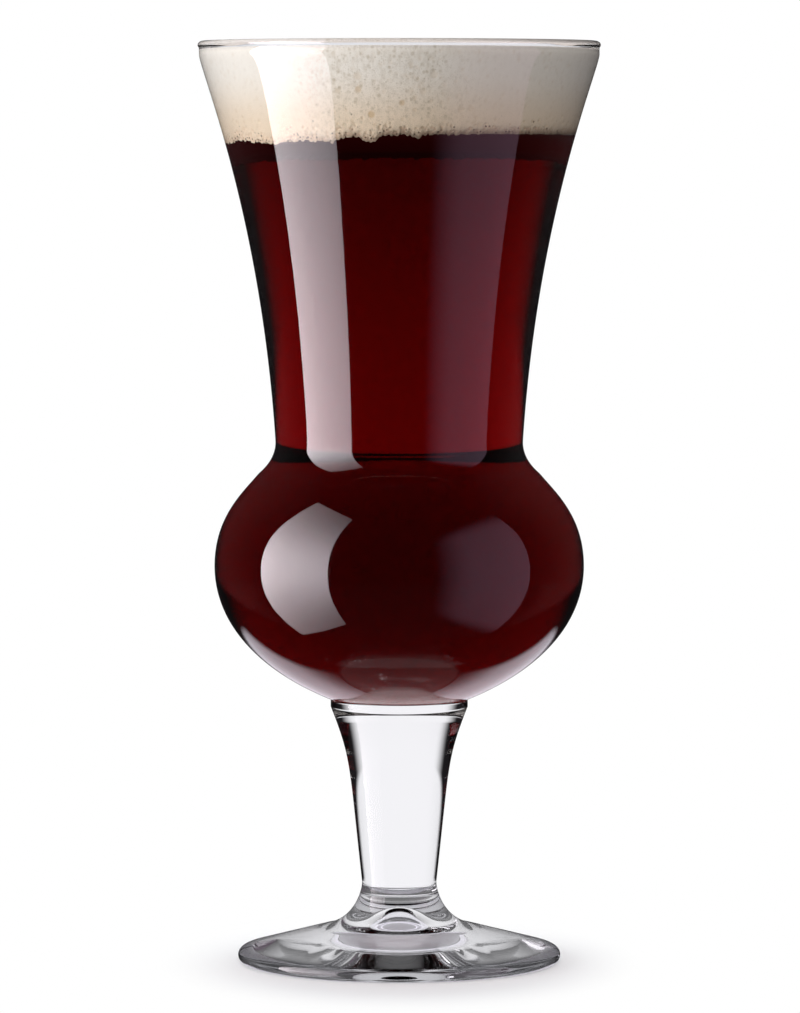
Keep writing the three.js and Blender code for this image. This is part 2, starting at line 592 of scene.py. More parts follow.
def open_cells_group() -> bpy.types.NodeTree:
    """Builds the shared pattern of small open bubbles in a froth.

    Space is split into cells round scattered points. A share of the cells, picked by their random
    colour, is open, and an open cell is deepest near its point.

    Returns:
        The node group, with inputs Size and Share and the output Open.
    """
    name = "open_cells"
    core_ends = (0.18, 0.46)
    faintest = 0.4
    if name in bpy.data.node_groups:
        return bpy.data.node_groups[name]
    group, bench, given = new_group(name, {"Size": 0.5 * MM, "Share": 0.3}, "Open")
    scale = bench.math("DIVIDE", 1.0, given.outputs["Size"])
    cells = bench.add("ShaderNodeTexVoronoi", {"Vector": bench.place(), "Scale": scale})
    pick = bench.add("ShaderNodeSeparateColor", {0: cells.outputs["Color"]})
    picked = bench.math("LESS_THAN", pick.outputs["Red"], given.outputs["Share"])
    core = bench.ramp(cells.outputs["Distance"], *core_ends, 1.0, 0.0)
    strength = bench.math("MULTIPLY_ADD", pick.outputs["Green"], 1.0 - faintest, faintest)
    opened = bench.math("MULTIPLY", bench.math("MULTIPLY", picked, core), strength)
    bench.add("NodeGroupOutput", {"Open": opened})
    return group


@dataclass(frozen=True)
class BeerFoam:
    """Cream foam of fine bubbles, with tan hollows and darker froth near its lower edge.
    Towards the beer the cream turns darker and browner: partly the wet foam's own colour, partly
    painted shade for light that comes in only at the foam's top.

    A field that ends in ends holds the two values between which a change takes place: heights
    for the cream, places along X for coarse_rise, coarse_fall, calm and the painted shade, and
    values of the noise for the streaks.
    """

    name: str = "beer_foam"
    cream: tuple = (0.92, 0.835, 0.745, 1.0)
    # partly painted shade: the lower foam's colour, darker for light that comes in only at the top
    low_cream_and_shade: tuple = (0.84, 0.66, 0.49, 1.0)
    hollow: tuple = (0.62, 0.41, 0.22, 1.0)
    gap: tuple = (0.10, 0.065, 0.045, 1.0)
    grey: tuple = (0.52, 0.41, 0.29, 1.0)
    cream_ends: tuple = (181.0 * MM, 195.0 * MM)
    fine_size: float = 0.46 * MM
    fine_share: float = 0.45
    wide_size: float = 1.15 * MM
    wide_share: float = 0.48
    faint_share: float = 0.6
    froth_size: float = 0.66 * MM
    froth_power: float = 3.6
    froth_share: float = 1.7
    gap_share: float = 1.2
    thin_power: float = 2.2
    thin_share: float = 0.8
    streak_size: float = 0.8 * MM
    streak_squeeze: float = 0.4
    streak_detail: float = 2.0
    streak_ends: tuple = (0.42, 0.66)
    streak_share: float = 0.22
    coarse_rise_ends: tuple = (-24 * MM, -13 * MM)
    coarse_fall_ends: tuple = (5 * MM, 17 * MM)
    coarse_least: float = 0.2
    calm_ends: tuple = (4 * MM, 14 * MM)
    calm_share: float = 0.45
    # painted shade: the places along X where the dark over the froth fades out on the key-lit side
    painted_shade_ends: tuple = (-30 * MM, 0.0)
    painted_shade_least: float = 0.1
    pore_depth: float = 0.08 * MM
    pore_strength: float = 0.35
    roughness: float = 0.75

    def open_cells(self, bench: NodeBench, size: float, share: object) -> Socket:
        """Adds one layer of small open bubbles.

        Args:
            bench: Bench of the material's tree.
            size: Distance between the cells.
            share: Share of the cells that is open, as a number or a socket.

        Returns:
            The mask of the open bubbles.
        """
        node = bench.add("ShaderNodeGroup", node_tree=open_cells_group())
        node.inputs["Size"].default_value = size
        bench.feed(node.inputs["Share"], share)
        return node.outputs["Open"]

    def streaks(self, bench: NodeBench, place: Socket) -> Socket:
        """Adds faint upright streaks: a noise drawn out along Z.

        Args:
            bench: Bench of the material's tree.
            place: Place on the piece.

        Returns:
            The strength of the streaks.
        """
        drawn = bench.stretched(place, (1.0, 1.0, self.streak_squeeze))
        scale = 1.0 / self.streak_size
        values = {"Vector": drawn, "Scale": scale, "Detail": self.streak_detail}
        noise = bench.add("ShaderNodeTexNoise", values)
        return bench.ramp(noise.outputs["Fac"], *self.streak_ends, 0.0, self.streak_share)

    def coarse_side(self, bench: NodeBench, across: Socket) -> Socket:
        """Masks the stretch round the middle where the foam's bubbles are coarse.

        Args:
            bench: Bench of the material's tree.
            across: Place along X.

        Returns:
            The mask, which keeps its least value elsewhere.
        """
        left = bench.ramp(across, *self.coarse_rise_ends, self.coarse_least, 1.0)
        right = bench.ramp(across, *self.coarse_fall_ends, 1.0, self.coarse_least)
        return bench.math("MULTIPLY", left, right)

    def material(self) -> bpy.types.Material:
        """Builds the material from the height, three sizes of open cells and the piece's own marks.

        The mark hollow is high in the large open bubbles. The mark froth rises to one at the
        lower edge, where more and more cells are open and show the dark beer: the share of open
        cells, and the dark over the froth, each follow a power of the mark. That dark over the
        froth is partly thin foam showing the beer and partly painted shade: it fades out towards
        -X, the side that the key lamp lights.

        Returns:
            The material.
        """
        material, bench = new_material(self.name)
        place = bench.place()
        axes = bench.add("ShaderNodeSeparateXYZ", {0: place})
        across, height = axes.outputs["X"], axes.outputs["Z"]
        hollow, froth = (
            bench.add("ShaderNodeAttribute", attribute_name=mark).outputs["Fac"]
            for mark in ("hollow", "froth")
        )
        coarse = self.coarse_side(bench, across)
        fine = self.open_cells(bench, self.fine_size, self.fine_share)
        wide = self.open_cells(bench, self.wide_size, self.wide_share)
        loose = bench.math("POWER", froth, self.froth_power)
        loose = bench.math("MULTIPLY", loose, self.froth_share)
        calm = bench.ramp(across, *self.calm_ends, 1.0, self.calm_share)
        holes = self.open_cells(bench, self.froth_size, bench.math("MULTIPLY", loose, calm))
        faint = bench.math("MULTIPLY", coarse, self.faint_share)
        thin = bench.math("POWER", froth, self.thin_power)
        thin = bench.ramp(thin, 0.0, 1.0, 0.0, self.thin_share)
        # painted shade: the dark over the thin froth fades out towards -X, the side that the key
        # lamp lights
        shade = bench.ramp(across, *self.painted_shade_ends, self.painted_shade_least, 1.0)
        # partly painted shade: the cream darkens towards the beer, for light that comes in only at
        # the top, along with the wet foam's browner colour
        colour = bench.blend(bench.ramp(height, *self.cream_ends), self.low_cream_and_shade, self.cream)
        for mask, laid in (
            (hollow, self.hollow),
            (bench.math("MULTIPLY", bench.math("MAXIMUM", fine, wide), faint), self.grey),
            (bench.math("MULTIPLY", self.streaks(bench, place), coarse), self.grey),
            (bench.math("MULTIPLY", holes, self.gap_share), self.gap),
            (bench.math("MULTIPLY", thin, shade), self.gap),
        ):
            colour = bench.blend(mask, colour, laid)
        dip = bench.math("MULTIPLY", bench.math("ADD", fine, wide), -1.0)
        values = {"Height": dip, "Distance": self.pore_depth, "Strength": self.pore_strength}
        bump = bench.add("ShaderNodeBump", values)
        skin = bench.add(
            "ShaderNodeBsdfPrincipled",
            {"Base Color": colour, "Roughness": self.roughness, "Normal": bump.outputs["Normal"]},
        )
        bench.close(skin.outputs["BSDF"])
        return material


@dataclass(frozen=True)
class SoakedFoam:
    """The foam's underside, soaked in beer: dark, with a painted glow that stands for the light
    from behind.
    """

    name: str = "soaked_foam"
    colour: tuple = (0.012, 0.001, 0.001, 1.0)
    # painted light: colour of the glow that stands for light from behind
    glow: tuple = (1.0, 0.3, 0.28, 1.0)
    faintest: float = 0.0118
    brightest: float = 0.17
    growth: float = 44.0
    reach: float = 37.0 * MM
    roughness: float = 0.9

    def material(self) -> bpy.types.Material:
        """Builds the material: a dark skin with a painted glow, light given off by a part that is
        no lamp, which grows with the beer in front of it.

        The depth of beer is the distance along Y from the front of a circle of the reach, and the
        glow is the faintest one times e to the power of that depth times the growth, up to the
        brightest one.

        Returns:
            The material.
        """
        material, bench = new_material(self.name)
        axes = bench.add("ShaderNodeSeparateXYZ", {0: bench.place()})
        aside = bench.math("MULTIPLY", axes.outputs["X"], axes.outputs["X"])
        inside = bench.math("MAXIMUM", bench.math("SUBTRACT", self.reach**2, aside), 0.0)
        depth = bench.math("ADD", axes.outputs["Y"], bench.math("SQRT", inside))
        power = bench.math("EXPONENT", bench.math("MULTIPLY", depth, self.growth))
        strength = bench.math("MULTIPLY", power, self.faintest)
        strength = bench.math("MINIMUM", strength, self.brightest)
        # painted light: the emission is a painted glow for the light that comes through from behind
        values = {
            "Base Color": self.colour,
            "Roughness": self.roughness,
            "Emission Color": bench.blend(strength, BLACK, self.glow),
            "Emission Strength": 1.0,
        }
        skin = bench.add("ShaderNodeBsdfPrincipled", values)
        skin.inputs["Specular IOR Level"].default_value = 0.0
        bench.close(skin.outputs["BSDF"])
        return material


@dataclass
class Foot:
    """The pressed disc that the glass stands on, with a hollow and a kick underneath."""

    height: float = 15.2 * MM
    radius: float = 35.1 * MM
    edge_round: float = 1.5 * MM
    slope_degrees: float = 15.2
    neck_reach: float = 18.0 * MM
    joint_radius: float = 8.45 * MM
    resting_ring_width: float = 2.6 * MM
    kick_height: float = 10.4 * MM
    kick_radius: float = 10.2 * MM
    kick_rim_height: float = 4.2 * MM
    neck_out_share: float = 0.13
    neck_lean_share: float = 0.22
    neck_fall_share: float = 0.895
    kick_flat_share: float = 0.35
    kick_foot_share: float = 0.5
    kick_dip_share: float = 0.1
    hollow_flat_share: float = 0.7
    hollow_lift_share: float = 0.25
    under_steps: int = 40
    edge_steps: int = 28
    slope_steps: int = 24
    neck_steps: int = 48
    ring_steps: int = 4
    joint_steps: int = 6
    turns: int = 240

    def underside(self) -> np.ndarray:
        """Returns the kick and the hollow under the foot, from the axis to the resting ring."""
        ring_inside = self.radius - self.edge_round - self.resting_ring_width
        hollow_width = ring_inside - self.kick_radius
        low_lift = self.kick_rim_height * self.hollow_lift_share
        kick = bezier(
            (0.0, self.kick_height),
            (self.kick_radius * self.kick_flat_share, self.kick_height),
            (self.kick_radius * (1 - self.kick_foot_share), self.kick_rim_height),
            (self.kick_radius, self.kick_rim_height),
            self.under_steps,
        )
        hollow = bezier(
            (self.kick_radius, self.kick_rim_height),
            (self.kick_radius + self.kick_dip_share * hollow_width, self.kick_rim_height),
            (ring_inside - self.hollow_flat_share * hollow_width, low_lift),
            (ring_inside, 0.0),
            self.under_steps,
        )
        return np.concatenate([kick, hollow[1:]])

    def top_side(self) -> np.ndarray:
        """Returns the rounded edge, the straight slope and the neck, from the ring to the joint."""
        slope = np.radians(self.slope_degrees)
        centre = (self.radius - self.edge_round, self.edge_round)
        radii = (self.edge_round, self.edge_round)
        edge = arc(centre, radii, -np.pi / 2, np.pi / 2 - slope, self.edge_steps)
        run = edge[-1, 0] - self.neck_reach
        neck_foot = (self.neck_reach, edge[-1, 1] + run * np.tan(slope))
        top = line(tuple(edge[-1]), neck_foot, self.slope_steps)
        rise = self.height - neck_foot[1]
        width = self.neck_reach - self.joint_radius
        out = self.neck_out_share * width
        lean = self.joint_radius + self.neck_lean_share * width
        neck = bezier(
            neck_foot,
            (self.neck_reach - out, neck_foot[1] + out * np.tan(slope)),
            (lean, self.height - self.neck_fall_share * rise),
            (self.joint_radius, self.height),
            self.neck_steps,
        )
        return np.concatenate([edge, top[1:], neck[1:]])

    def build(self, glass: bpy.types.Material, seam: bpy.types.Material) -> bpy.types.Object:
        """Builds the foot's solid and dresses it.

        Args:
            glass: The clear glass.
            seam: The finish of the face fused to the stem.

        Returns:
            The piece.
        """
        under = self.underside()
        ring = line(tuple(under[-1]), (self.radius - self.edge_round, 0.0), self.ring_steps)
        joint = line((self.joint_radius, self.height), (0.0, self.height), self.joint_steps)
        stretches = [
            Stretch(np.concatenate([under, ring[1:]])),
            Stretch(self.top_side()),
            Stretch(joint, Surface.FUSED_GLASS),
        ]
        piece = mesh_object("foot_glass", turned_skin(stretches, self.turns), [glass, glass, seam])
        return seat(piece, "foot")


@dataclass
class Stem:
    """The solid flared rod between the foot and the bowl."""

    foot_height: float = 15.2 * MM
    length: float = 42.0 * MM
    joint_radius: float = 8.45 * MM
    neck_radius: float = 8.1 * MM
    foot_fillet: float = 2.2 * MM
    top_radius: float = 14.9 * MM
    lip: float = 1.5 * MM
    lip_round: float = 0.3 * MM
    seat_radius: float = 14.6 * MM
    rise_share: float = 0.67
    lean_share: float = 0.42
    in_share: float = 0.676
    fall_share: float = 0.306
    fillet_steps: int = 10
    rod_steps: int = 90
    edge_steps: int = 12
    lip_steps: int = 5
    joint_steps: int = 6
    top_steps: int = 8
    turns: int = 240

    @property
    def top(self) -> float:
        """Height of the flat top."""
        return self.foot_height + self.length

    def side(self) -> np.ndarray:
        """Returns the side of the rod, from the joint with the foot to the flat top.

        The fillet at its foot is pulled at a third and at two thirds of its height.

        Returns:
            Rows of (radius, height).
        """
        fillet_top = self.foot_height + self.foot_fillet
        middle = self.foot_height + self.foot_fillet / 2
        third = self.neck_radius + (self.joint_radius - self.neck_radius) / 3
        fillet = bezier(
            (self.joint_radius, self.foot_height),
            (third, middle - self.foot_fillet / 6),
            (self.neck_radius, middle + self.foot_fillet / 6),
            (self.neck_radius, fillet_top),
            self.fillet_steps,
        )
        lip_foot = self.top - self.lip
        rise = lip_foot - fillet_top
        spread = self.top_radius - self.neck_radius
        rod = bezier(
            (self.neck_radius, fillet_top),
            (self.neck_radius + self.lean_share * spread, fillet_top + self.rise_share * rise),
            (self.top_radius - self.in_share * spread, lip_foot - self.fall_share * rise),
            (self.top_radius, lip_foot),
            self.rod_steps,
        )
        corner = (self.top_radius - self.lip_round, self.top - self.lip_round)
        edge = arc(corner, (self.lip_round, self.lip_round), 0.0, np.pi / 2, self.edge_steps)
        upright = line((self.top_radius, lip_foot), tuple(edge[0]), self.lip_steps)
        return np.concatenate([fillet, rod[1:], upright[1:], edge[1:]])

    def build(self, glass: bpy.types.Material, seam: bpy.types.Material) -> bpy.types.Object:
        """Builds the stem's solid and dresses it.

        Args:
            glass: The clear glass.
            seam: The finish of the two fused faces.

        Returns:
            The piece.
        """
        side = self.side()
        edge = (self.joint_radius, self.foot_height)
        joint = line((0.0, self.foot_height), edge, self.joint_steps)
        flat_top = line(tuple(side[-1]), (0.0, self.top), self.top_steps)
        stretches = [
            Stretch(joint, Surface.FUSED_GLASS),
            Stretch(side),
            Stretch(flat_top, Surface.FUSED_GLASS),
        ]
        piece = mesh_object("stem_glass", turned_skin(stretches, self.turns), [glass, glass, seam])
        return seat(piece, "stem")


@dataclass
class Bowl:
    """The blown bulb, waist and flare in one wall, with a thick floor and a beaded rim."""

    base: float = 57.2 * MM
    seat_radius: float = 14.6 * MM
    bulb_lower_height: float = 29.1 * MM
    bulb_upper_height: float = 27.4 * MM
    flare_height: float = 83.3 * MM
    lip_height: float = 3.0 * MM
    bulb_radius: float = 40.1 * MM
    waist_radius: float = 26.85 * MM
    mouth_radius: float = 43.25 * MM
    wall: float = 2.2 * MM
    floor: float = 6.5 * MM
    bead_height: float = 1.8 * MM
    bead_bulge: float = 0.28 * MM
    under_out_share: float = 0.845
    under_rise_share: float = 0.304
    under_fall_share: float = 0.267
    shoulder_rise_share: float = 0.395
    shoulder_out_share: float = 0.283
    shoulder_up_share: float = 0.73
    shoulder_handle_share: float = 0.187
    shoulder_slope: float = 1.21
    waist_handle_share: float = 0.0183
    waist_rise_share: float = 0.16
    waist_lean_share: float = 0.0625
    flare_rise_share: float = 0.592
    flare_lean_share: float = 0.0651
    flare_in_share: float = 0.0226
    flare_fall_share: float = 0.049
    floor_out_share: float = 0.6
    floor_fall_share: float = 0.52
    under_steps: int = 60
    shoulder_steps: int = 40
    hollow_steps: int = 30
    flare_steps: int = 80
    bead_steps: int = 40
    floor_steps: int = 60
    lip_steps: int = 8
    seat_steps: int = 8
    turns: int = 240

    @property
    def bulb_middle(self) -> float:
        """Height where the bulb is widest."""
        return self.base + self.bulb_lower_height

    @property
    def waist(self) -> float:
        """Height of the narrow waist."""
        return self.bulb_middle + self.bulb_upper_height

    @property
    def flare_top(self) -> float:
        """Height where the flare ends and the lip starts."""
        return self.waist + self.flare_height

    @property
    def rim(self) -> float:
        """Height of the rim's highest point."""
        return self.flare_top + self.lip_height

    def under_bulb(self) -> np.ndarray:
        """Returns the outside of the bulb's lower half, from the seat to its widest place."""
        reach = self.bulb_radius - self.seat_radius
        drop = self.bulb_lower_height
        out = self.seat_radius + self.under_out_share * reach
        return bezier(
            (self.seat_radius, self.base),
            (out, self.base + self.under_rise_share * drop),
            (self.bulb_radius, self.bulb_middle - self.under_fall_share * drop),
            (self.bulb_radius, self.bulb_middle),
            self.under_steps,
        )

    def shoulder_line(self, share: float) -> tuple:
        """Returns the point on the line that the shoulder and the hollow above it both touch.

        Args:
            share: Distance along the line, as a share of the bulb's upper height; inwards and
                up is negative.

        Returns:
            The point as (radius, height).
        """
        step = share * self.bulb_upper_height
        bulge = self.bulb_radius - self.waist_radius
        turn_radius = self.waist_radius + self.shoulder_out_share * bulge
        turn_height = self.bulb_middle + self.shoulder_up_share * self.bulb_upper_height
        return (turn_radius + step, turn_height - step * self.shoulder_slope)

    def upper_wall(self) -> np.ndarray:
        """Returns the outside from the bulb's widest place over the waist to the lip."""
        slant = 1.0 / np.hypot(1.0, self.shoulder_slope)
        lift = self.shoulder_rise_share * self.bulb_upper_height
        shoulder = bezier(
            (self.bulb_radius, self.bulb_middle),
            (self.bulb_radius, self.bulb_middle + lift),
            self.shoulder_line(self.shoulder_handle_share * slant),
            self.shoulder_line(0.0),
            self.shoulder_steps,
        )
        drop = self.waist_rise_share * self.bulb_upper_height
        hollow = bezier(
            self.shoulder_line(0.0),
            self.shoulder_line(-self.waist_handle_share * slant),
            (self.waist_radius - drop * self.waist_lean_share, self.waist - drop),
            (self.waist_radius, self.waist),
            self.hollow_steps,
        )
        rise = self.flare_rise_share * self.flare_height
        spread = self.mouth_radius - self.waist_radius
        top_pull = self.flare_top - self.flare_fall_share * self.flare_height
        flare = bezier(
            (self.waist_radius, self.waist),
            (self.waist_radius + rise * self.flare_lean_share, self.waist + rise),
            (self.mouth_radius - self.flare_in_share * spread, top_pull),
            (self.mouth_radius, self.flare_top),
            self.flare_steps,
        )
        return np.concatenate([shoulder, hollow[1:], flare[1:]])

    def bead(self) -> np.ndarray:
        """Returns the rounded bead from the outside of the lip over the rim to the inside."""
        middle = self.mouth_radius - self.wall / 2 + self.bead_bulge / 2
        radii = (self.wall / 2 + self.bead_bulge / 2, self.bead_height / 2)
        start = -np.arccos((self.mouth_radius - middle) / radii[0])
        return arc((middle, self.rim - self.bead_height / 2), radii, start, np.pi, self.bead_steps)

    def inner_wall(self) -> np.ndarray:
        """Returns the inside from the floor's middle to the bead, a wall inside the outside."""
        upper = inset(self.upper_wall(), self.wall)
        reach, height = upper[0]
        low = self.base + self.floor
        floor = bezier(
            (0.0, low),
            (self.floor_out_share * reach, low),
            (reach, height - self.floor_fall_share * (height - low)),
            (reach, height),
            self.floor_steps,
        )
        lip = line(tuple(upper[-1]), tuple(self.bead()[-1]), self.lip_steps)
        return np.concatenate([floor, upper[1:], lip[1:]])

    def build(
        self,
        drink_top: float,
        glass: bpy.types.Material,
        wet: bpy.types.Material,
        seam: bpy.types.Material,
    ) -> bpy.types.Object:
        """Builds the bowl's solid and dresses it.

        Args:
            drink_top: Height up to which the drink wets the inside.
            glass: The clear glass.
            wet: The glass where it lies against the drink.
            seam: The finish of the face fused to the stem.

        Returns:
            The piece.
        """
        inner = self.inner_wall()[::-1]
        dry_rows = int(np.searchsorted(-inner[:, 1], -drink_top))
        wet_line = [np.interp(drink_top, inner[::-1, 1], inner[::-1, 0]), drink_top]
        inner = np.insert(inner, dry_rows, wet_line, axis=0)
        outside = np.concatenate([self.under_bulb(), self.upper_wall()[1:], self.bead()])
        joint = line((0.0, self.base), (self.seat_radius, self.base), self.seat_steps)
        stretches = [
            Stretch(joint, Surface.FUSED_GLASS),
            Stretch(outside),
            Stretch(inner[: dry_rows + 1]),
            Stretch(inner[dry_rows:], Surface.DRINK),
        ]
        piece = mesh_object("bowl_glass", turned_skin(stretches, self.turns), [glass, wet, seam])
        return seat(piece, "bowl")


@dataclass
class Drink:
    """The dark beer and the foam on it, which fill the bowl's hollow."""

    bowl: Bowl
    freeboard: float = 1.7 * MM
    foam_depth: float = 18.9 * MM
    foam_crown: float = 1.0 * MM
    cling: float = 0.6 * MM
    skin_gap: float = 0.02 * MM
    beer_overlap: float = 2.4 * MM
    top_steps: int = 20
    turns: int = 240

    @property
    def foam_edge(self) -> float:
        """Height of the foam's edge at the wall."""
        return self.bowl.rim - self.freeboard

    @property
    def froth_top(self) -> float:
        """Height up to which the froth clings to the wall."""
        return self.foam_edge + self.cling

    @property
    def beer_level(self) -> float:
        """Height of the beer under the foam."""
        return self.foam_edge - self.foam_depth

    def hollow(self, gap: float) -> np.ndarray:
        """Returns the inside of the wall moved inwards by a gap, from the axis to the rim."""
        wall = inset(self.bowl.inner_wall(), gap)
        wall[0, 0] = 0.0
        return wall

    def build_beer(self, beer: bpy.types.Material) -> bpy.types.Object:
        """Builds the beer, a touch inside the wall, up into the foam's underside.

        Args:
            beer: The beer's finish.

        Returns:
            The piece.
        """
        top = self.beer_level + self.beer_overlap
        wall = self.hollow(2 * self.skin_gap)
        side = wall[wall[:, 1] < top]
        edge = (float(np.interp(top, wall[:, 1], wall[:, 0])), top)
        outline = np.concatenate([side, [edge]])
        stretches = [Stretch(outline), Stretch(line(edge, (0.0, top), self.top_steps))]
        piece = mesh_object("beer_body", turned_skin(stretches, self.turns), [beer])
        return seat(piece, "beer")


@dataclass
class FoamHead:
    """The foam on the beer: its side lies against the glass, pitted by bubbles that have opened.

    The side is a grid of rows by turns. Angles are degrees round the glass from the camera's
    side, to the right. Bends are rows of angle and rise of the lower edge in millimetres, and
    hollows are rows of angle, rise over the beer and radius in millimetres, and mark. The sizes
    and rises of the bubbles that are drawn at random are in millimetres too.
    """

    drink: Drink
    edge_bends: tuple = (
        (-180.0, 0.2), (-120.0, -0.3), (-80.0, -0.85), (-66.0, -0.25), (-52.0, -0.9),
        (-45.0, -1.05), (-34.0, -0.35), (-23.0, -0.85), (-18.0, 0.45), (-14.5, 0.55),
        (-11.8, -0.3), (-9.6, -1.05), (-7.6, -0.5), (-6.0, 0.55), (0.0, 0.8), (3.4, 0.75),
        (5.8, -0.1), (8.2, 0.75), (35.0, 0.9), (88.0, 0.95), (130.0, 0.3), (180.0, 0.2),
    )
    hollows: tuple = (
        (-12.6, 12.9, 0.85, 0.22), (-12.6, 10.2, 0.75, 0.50), (-8.9, 4.9, 0.80, 0.70),
        (0.9, 7.4, 0.62, 0.62), (-19.2, 9.9, 0.65, 0.22), (-17.0, 5.9, 0.40, 0.22),
        (-15.2, 3.5, 0.50, 0.22), (3.3, 15.2, 0.60, 0.16), (1.7, 13.0, 0.45, 0.16),
        (4.6, 12.7, 0.35, 0.18), (10.4, 13.2, 0.85, 0.18), (7.2, 9.7, 0.70, 0.18),
        (4.8, 8.4, 0.50, 0.22), (4.9, 5.9, 0.50, 0.22), (18.4, 8.8, 0.60, 0.12),
        (19.9, 6.0, 0.75, 0.16), (23.2, 6.2, 0.75, 0.16), (28.0, 7.8, 0.50, 0.12),
        (9.2, 16.6, 0.60, 0.12), (-5.6, 15.4, 0.50, 0.14), (-3.1, 12.1, 0.45, 0.12),
        (13.9, 11.0, 0.45, 0.12), (-8.0, 2.8, 0.40, 0.30), (1.2, 3.9, 0.40, 0.18),
    )
    hanging: int = 330
    hanging_sizes: tuple = (0.12, 0.46)
    edge_widening: float = 1.35
    calm_degrees: tuple = (12.0, 110.0)
    calm_fade: float = 20.0
    calm_share: float = 0.6
    hollow_depth_share: float = 0.12
    mark_spread: float = 1.6
    scattered: int = 900
    scattered_sizes: tuple = (0.20, 0.60)
    scattered_rises: tuple = (1.5, 18.4)
    scattered_marks: tuple = (0.02, 0.16)
    scattered_depth_share: float = 0.10
    lined: int = 2600
    lined_sizes: tuple = (0.14, 0.36)
    lined_rise: float = 0.85
    lined_marks: tuple = (0.0, 0.3)
    lined_depth_share: float = 0.7
    cling_power: int = 10
    wave: float = 0.25 * MM
    waves_round: int = 5
    waves_inward: int = 9
    waves_across: int = 11
    wave_sway: int = 3
    wave_sway_turns: int = 2
    under_shares: tuple = (0.5, 0.96)
    under_rise: float = 1.1 * MM
    turns: int = 1000
    side_rows: int = 68
    top_rows: int = 20
    near_share: float = 0.35
    froth_height: float = 3.0 * MM
    seed: int = 11

    def angles(self) -> np.ndarray:
        """Returns the angle of each column of the grid, in radians round the axis from +X."""
        return np.arange(self.turns) * 2 * np.pi / self.turns

    def seen_degrees(self) -> np.ndarray:
        """Returns each column's angle in degrees from the camera's side, from -180 to 180."""
        return (np.degrees(self.angles()) + 90.0 + 180.0) % 360.0 - 180.0

    def lower_edge(self, noise: np.random.Generator) -> np.ndarray:
        """Returns the height of the ragged lower edge at each column.

        The edge runs straight between given places, and small round bubbles hang below it:
        each takes the height of its half circle off the edge, and less of it on the calm side.

        Args:
            noise: Source of the random bubbles.

        Returns:
            One height for each column.
        """
        degrees = self.seen_degrees()
        places, rises = np.array(self.edge_bends).T
        edge = self.drink.beer_level + np.interp(degrees, places, rises) * MM
        width = np.radians(1.0) * self.drink.bowl.waist_radius * self.edge_widening
        middles = noise.uniform(-180.0, 180.0, self.hanging)
        radii = noise.uniform(*self.hanging_sizes, self.hanging) * MM
        aside = (degrees[None, :] - middles[:, None] + 180.0) % 360.0 - 180.0
        far = np.abs(aside) * width
        hang = np.sqrt(np.clip(radii[:, None] ** 2 - far**2, 0.0, None)).max(axis=0)
        start, end = self.calm_degrees
        calm = np.clip((degrees - start) / self.calm_fade, 0.0, 1.0)
        calm = calm * np.clip((end - degrees) / self.calm_fade, 0.0, 1.0)
        return edge - hang * (1.0 - self.calm_share * calm)

    def pit(self, grid: tuple, marks: tuple, bubbles: np.ndarray) -> None:
        """Presses bubbles into the side.

        A bubble is a part of a ball: its depth at a distance from its middle is its full depth
        times the root of one minus the squared distance in radii.

        Args:
            grid: Distance round the wall of each column, and height of each row and column.
            marks: Arrays for the depth and the hollow's mark, which take the larger value.
            bubbles: Rows of distance round the wall, height, radius, depth and mark.
        """
        around, heights = grid
        depths, hollow = marks
        girth = around[1] * self.turns
        for middle, height, radius, depth, mark in bubbles:
            first = int((middle - radius) / around[1]) - 1
            columns = np.arange(first, first + int(2 * radius / around[1]) + 4) % self.turns
            aside = (around[columns] - middle + girth / 2) % girth - girth / 2
            far = (aside[None, :] ** 2 + (heights[:, columns] - height) ** 2) / radius**2
            ball = np.sqrt(np.clip(1.0 - far, 0.0, None))
            depths[:, columns] = np.maximum(depths[:, columns], depth * ball)
            marked = mark * np.clip(self.mark_spread * ball, 0.0, 1.0)
            hollow[:, columns] = np.maximum(hollow[:, columns], marked)

    def bubbles(
        self, noise: np.random.Generator, around: np.ndarray, edge: np.ndarray
    ) -> np.ndarray:
        """Lists the open bubbles: the listed ones, scattered ones, and small ones along the edge.

        Args:
            noise: Source of the scattered bubbles.
            around: Distance round the wall of each column.
            edge: Height of the lower edge at each column.

        Returns:
            Rows of distance round the wall, height, radius, depth and mark.
        """
        girth = around[1] * self.turns
        angle, rise, radius, mark = np.array(self.hollows).T
        place = ((angle - 90.0) % 360.0) / 360.0 * girth
        height = self.drink.beer_level + rise * MM
        size = radius * MM
        placed = np.stack([place, height, size, self.hollow_depth_share * size, mark], axis=1)
        size = noise.uniform(*self.scattered_sizes, self.scattered) * MM
        place = noise.uniform(0.0, girth, self.scattered)
        height = self.drink.beer_level + noise.uniform(*self.scattered_rises, self.scattered) * MM
        mark = noise.uniform(*self.scattered_marks, self.scattered)
        free = np.stack([place, height, size, self.scattered_depth_share * size, mark], axis=1)
        place = noise.uniform(0.0, girth, self.lined)
        size = noise.uniform(*self.lined_sizes, self.lined) * MM
        base = edge[(place / around[1]).astype(int) % self.turns]
        height = base + noise.exponential(self.lined_rise, self.lined) * MM
        mark = noise.uniform(*self.lined_marks, self.lined)
        lined = np.stack([place, height, size, self.lined_depth_share * size, mark], axis=1)
        return np.concatenate([placed, free, lined])

